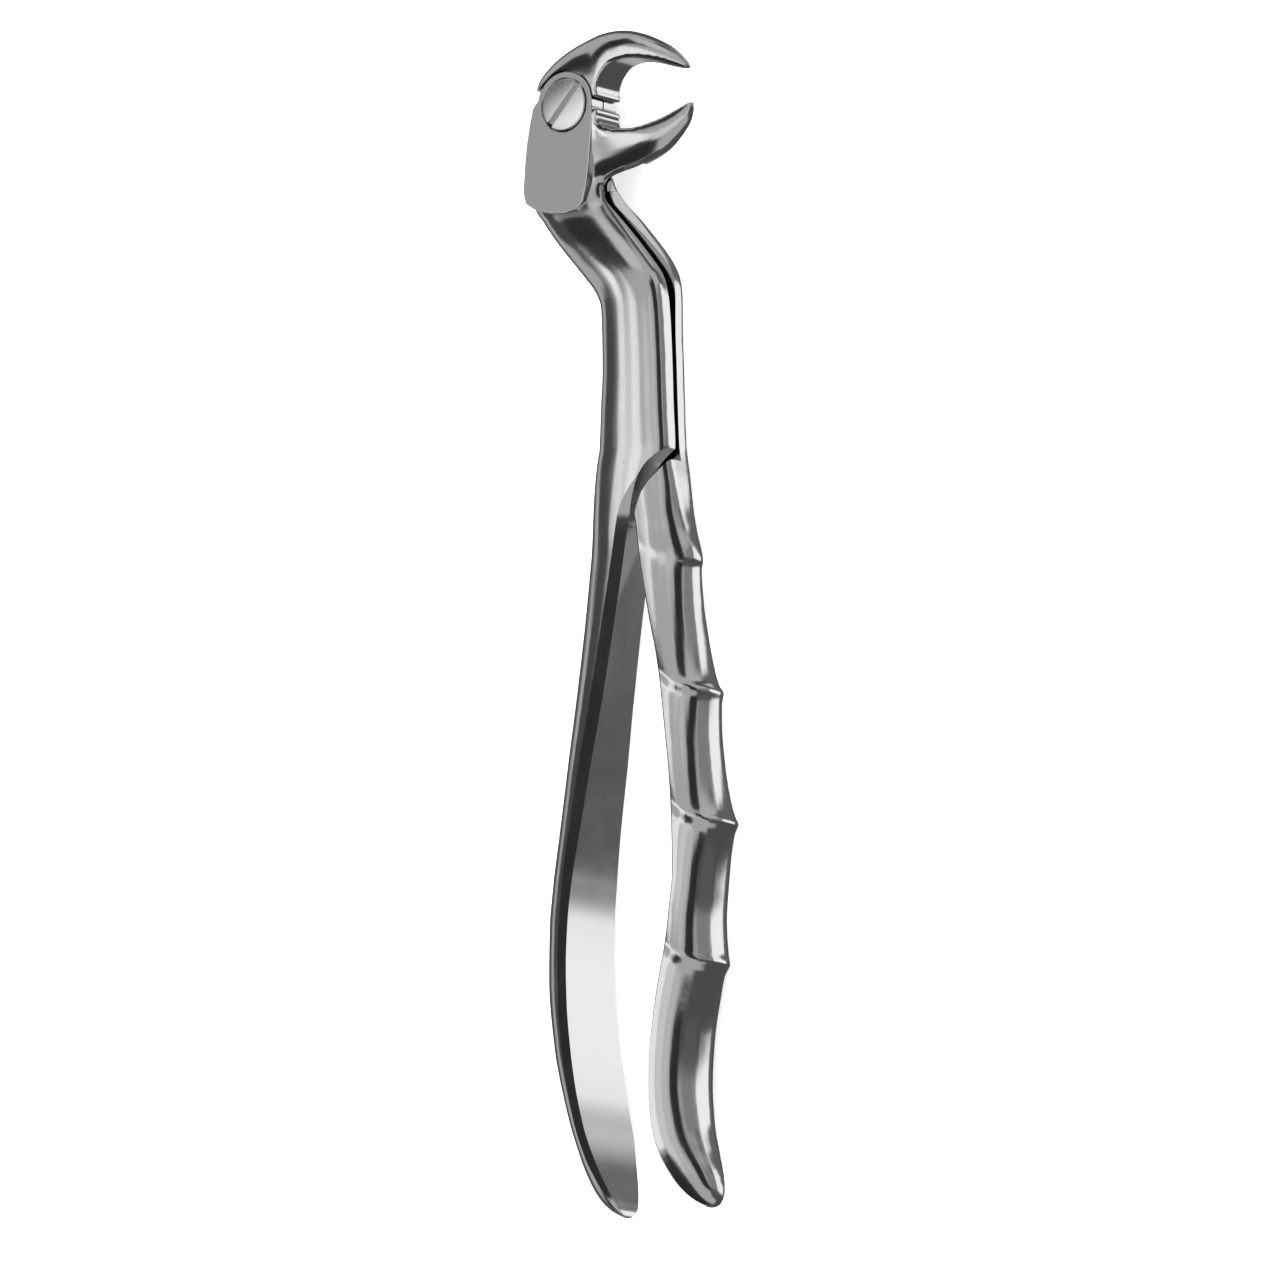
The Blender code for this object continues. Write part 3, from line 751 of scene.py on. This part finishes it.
def addFloor():
    bm = bmesh.new()
    bmesh.ops.create_grid(bm, x_segments=1, y_segments=1, size=paper["size"])
    mesh = bpy.data.meshes.new("floor")
    bm.to_mesh(mesh)
    bm.free()
    floor = bpy.data.objects.new("floor", mesh)
    bpy.context.scene.collection.objects.link(floor)
    material = bpy.data.materials.new("floorPaper")
    material.use_nodes = True
    shader = material.node_tree.nodes["Principled BSDF"]
    shader.inputs["Base Color"].default_value = (paper["grey"], paper["grey"], paper["grey"], 1)
    shader.inputs["Roughness"].default_value = paper["roughness"]
    shader.inputs["Specular IOR Level"].default_value = 0.0
    # a faint glow keeps the shadows pale
    shader.inputs["Emission Color"].default_value = (1, 1, 1, 1)
    shader.inputs["Emission Strength"].default_value = paper["glow"]
    mesh.materials.append(material)
    # the steel mirrors the panels below the horizon and not the floor
    floor.visible_glossy = False


# fill lights the floor, and the steel mirrors the base and the light and dark panels laid over it:
# middle azimuth and elevation, width and height, softness, all in degrees, and brightness
studio = {
    "fill": 2.4,
    "base": 0.55,
    "panels": [
        (0, -52, 420, 90, 20, 0.1),
        (54, -58, 110, 50, 20, 0.16),
        (-155, -50, 50, 30, 14, 0.5),
        (88, -41, 20, 20, 8, 0.7),
        (21, -50, 38, 44, 10, 1.3),
        (-120, 32, 58, 84, 12, 0.03),
        (-12, -8, 36, 66, 12, 0.1),
        (-2, -6, 14, 40, 6, 0.13),
        (17, -6, 24, 44, 8, 0.3),
        (46, -4, 22, 44, 12, 0.6),
        (20, 36, 64, 28, 8, 0.03),
        (20, 68, 60, 14, 8, 0.7),
        (92, 38, 30, 28, 8, 0.7),
        (86, 8, 16, 20, 6, 0.08),
        (138, 44, 54, 28, 8, 0.03),
        (166, 26, 24, 30, 8, 0.08),
        (176, 66, 56, 20, 8, 1.2),
        (168, 51, 12, 10, 5, 1.5),
        (0, 84, 420, 14, 6, 0.85),
    ],
}


def addStudio():
    world = bpy.data.worlds.new("studio")
    world.use_nodes = True
    board = Board(world.node_tree)
    world.node_tree.nodes.clear()
    towards = board.add("ShaderNodeTexCoord", {}, {}, "Generated")
    parts = board.add("ShaderNodeSeparateXYZ", {}, {"Vector": towards}).socket.node
    x, y, z = (Wire(board, output) for output in parts.outputs)
    azimuth = y.maths("ARCTAN2", y, x) * math.degrees(1)
    elevation = z.maths("ARCSINE", z) * math.degrees(1)
    level = studio["base"]
    for middle, height, wide, tall, soft, bright in studio["panels"]:
        aside = azimuth.maths("WRAP", azimuth - middle, -180, 180)
        above = elevation - height
        mask = board.soften((0.5 * (wide + soft) - aside.maths("ABSOLUTE", aside)) / soft)
        mask = mask * board.soften((0.5 * (tall + soft) - above.maths("ABSOLUTE", above)) / soft)
        level = level + (bright - level) * mask
    mirrored = board.add("ShaderNodeBackground", {}, {"Color": (1, 1, 1, 1), "Strength": level})
    fill = board.add("ShaderNodeBackground", {}, {"Color": (1, 1, 1, 1), "Strength": studio["fill"]})
    glossy = board.add("ShaderNodeLightPath", {}, {}, "Is Glossy Ray")
    both = board.add("ShaderNodeMixShader", {}, {0: glossy, 1: fill, 2: mirrored})
    out = world.node_tree.nodes.new("ShaderNodeOutputWorld")
    board.plug(out.inputs["Surface"], both)
    # sampled as a light, the world would put the fill on the steel as well
    world.cycles.sampling_method = "NONE"
    bpy.context.scene.world = world


print("camera, floor and light")
addCamera()
addFloor()
addStudio()
bpy.context.scene.view_settings.view_transform = "Standard"
